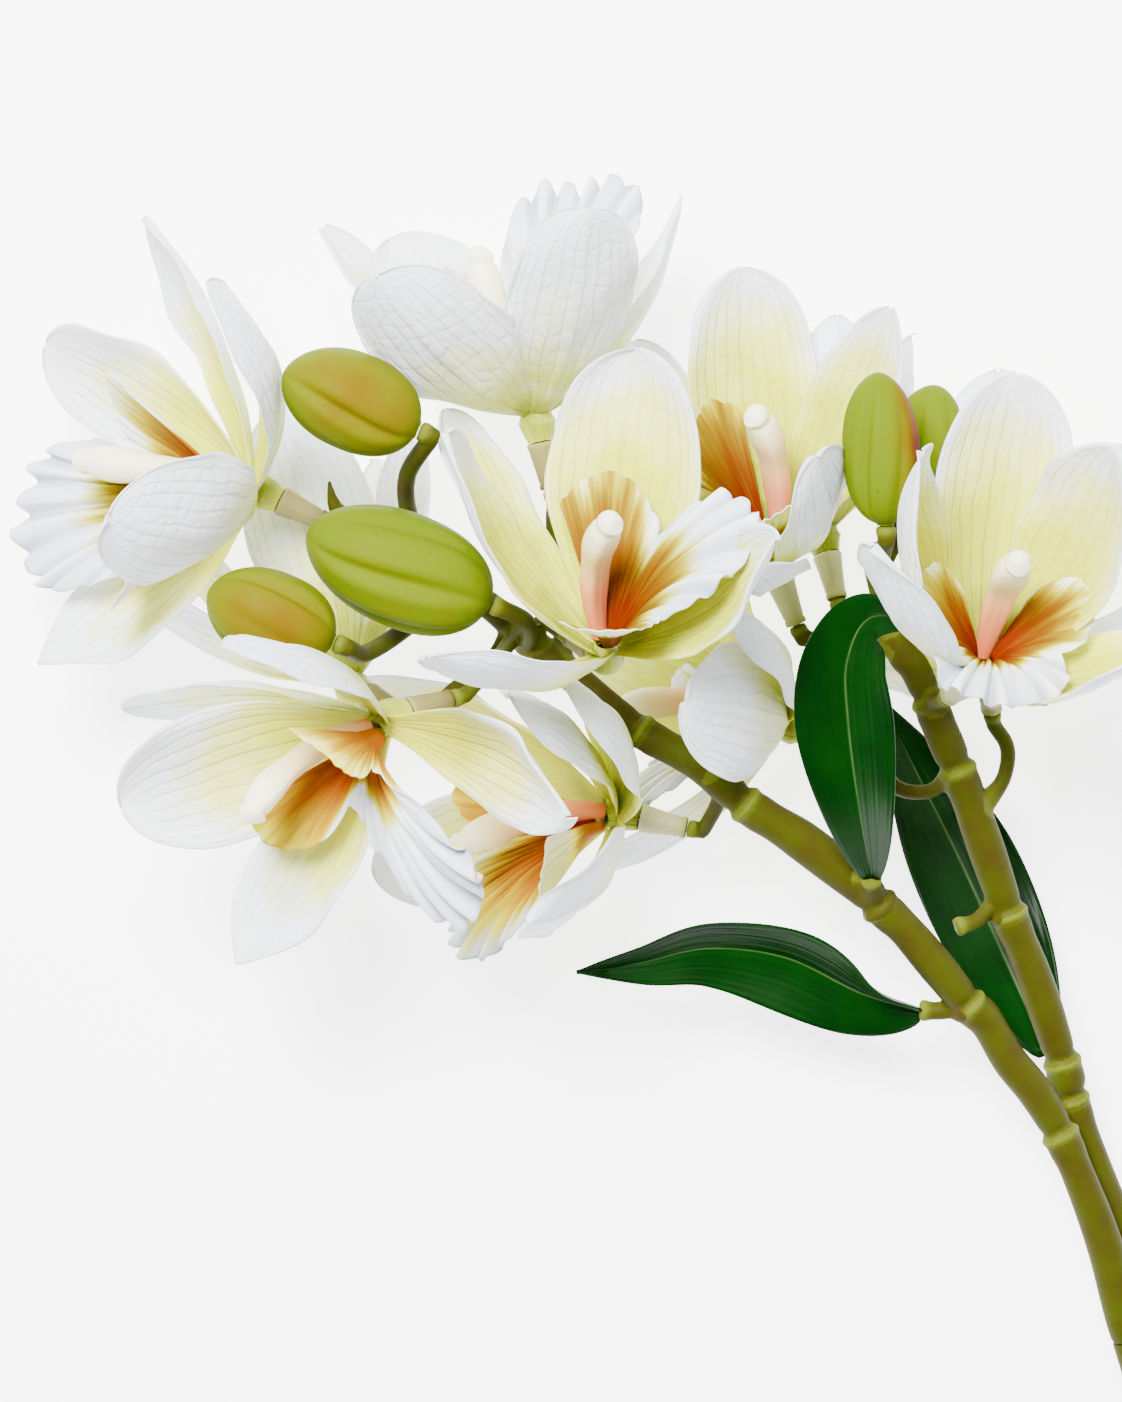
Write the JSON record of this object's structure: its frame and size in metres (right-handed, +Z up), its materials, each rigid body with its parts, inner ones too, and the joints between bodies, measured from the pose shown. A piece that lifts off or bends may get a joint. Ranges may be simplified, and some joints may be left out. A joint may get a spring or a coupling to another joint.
{
  "type": "cymbidium orchid stem",
  "caption": "Cut cymbidium orchid stem lying on its side: two jointed branches with open white blooms, ruffled orange lips, green buds and dark leaves.",
  "frame": {"origin": "centre of the whole stem's bounding box in plan, on the surface that it lies on", "axes": "+Z up from the surface; +Y along the surface from the cut end towards the flowers; +X to the right, seen from above with +Y away"},
  "size_m": [0.3148, 0.385, 0.1564],
  "materials": {
    "stem": "olive green cane, browner on its upper side, with paler rings at its joints, satin",
    "tepal": "white, pale yellow-green towards the root, finely veined, satin",
    "lip": "white ruffled rim, yellow, then orange and red streaks into the throat, satin",
    "column": "cream, blushed pink at its foot, satin",
    "sleeve": "grey-beige, darker towards the stalk, matt",
    "bud": "lime green with an orange-red blush and small dark specks, satin gloss",
    "leaf": "dark green with a grey-green midrib, glossy"
  },
  "bodies": {
    "root": {"main_stem": "stem", "branch_front": "stem", "branch_back": "stem", "bloom_a_tepals": "tepal", "bloom_a_lip": "lip", "bloom_a_column": "column", "bloom_a_sleeve": "sleeve", "bloom_b_tepals": "tepal", "bloom_b_lip": "lip", "bloom_b_column": "column", "bloom_b_sleeve": "sleeve", "bloom_c_tepals": "tepal", "bloom_c_lip": "lip", "bloom_c_column": "column", "bloom_c_sleeve": "sleeve", "bloom_d_tepals": "tepal", "bloom_d_lip": "lip", "bloom_d_column": "column", "bloom_d_sleeve": "sleeve", "bloom_e_tepals": "tepal", "bloom_e_lip": "lip", "bloom_e_column": "column", "bloom_e_sleeve": "sleeve", "bloom_f_tepals": "tepal", "bloom_f_lip": "lip", "bloom_f_column": "column", "bloom_f_sleeve": "sleeve", "bloom_g_tepals": "tepal", "bloom_g_lip": "lip", "bloom_g_column": "column", "bloom_g_sleeve": "sleeve", "bloom_h_tepals": "tepal", "bloom_h_lip": "lip", "bloom_h_column": "column", "bloom_h_sleeve": "sleeve", "bloom_i_tepals": "tepal", "bloom_i_lip": "lip", "bloom_i_column": "column", "bloom_i_sleeve": "sleeve", "bloom_j_tepals": "tepal", "bloom_j_lip": "lip", "bloom_j_column": "column", "bloom_j_sleeve": "sleeve", "bloom_k_tepals": "tepal", "bloom_k_lip": "lip", "bloom_k_column": "column", "bloom_k_sleeve": "sleeve", "bud_1": "bud", "bud_2": "bud", "bud_3": "bud", "bud_4": "bud", "bud_5": "bud", "leaf_1": "leaf", "leaf_2": "leaf", "leaf_3": "leaf"}
  },
  "joints": []
}
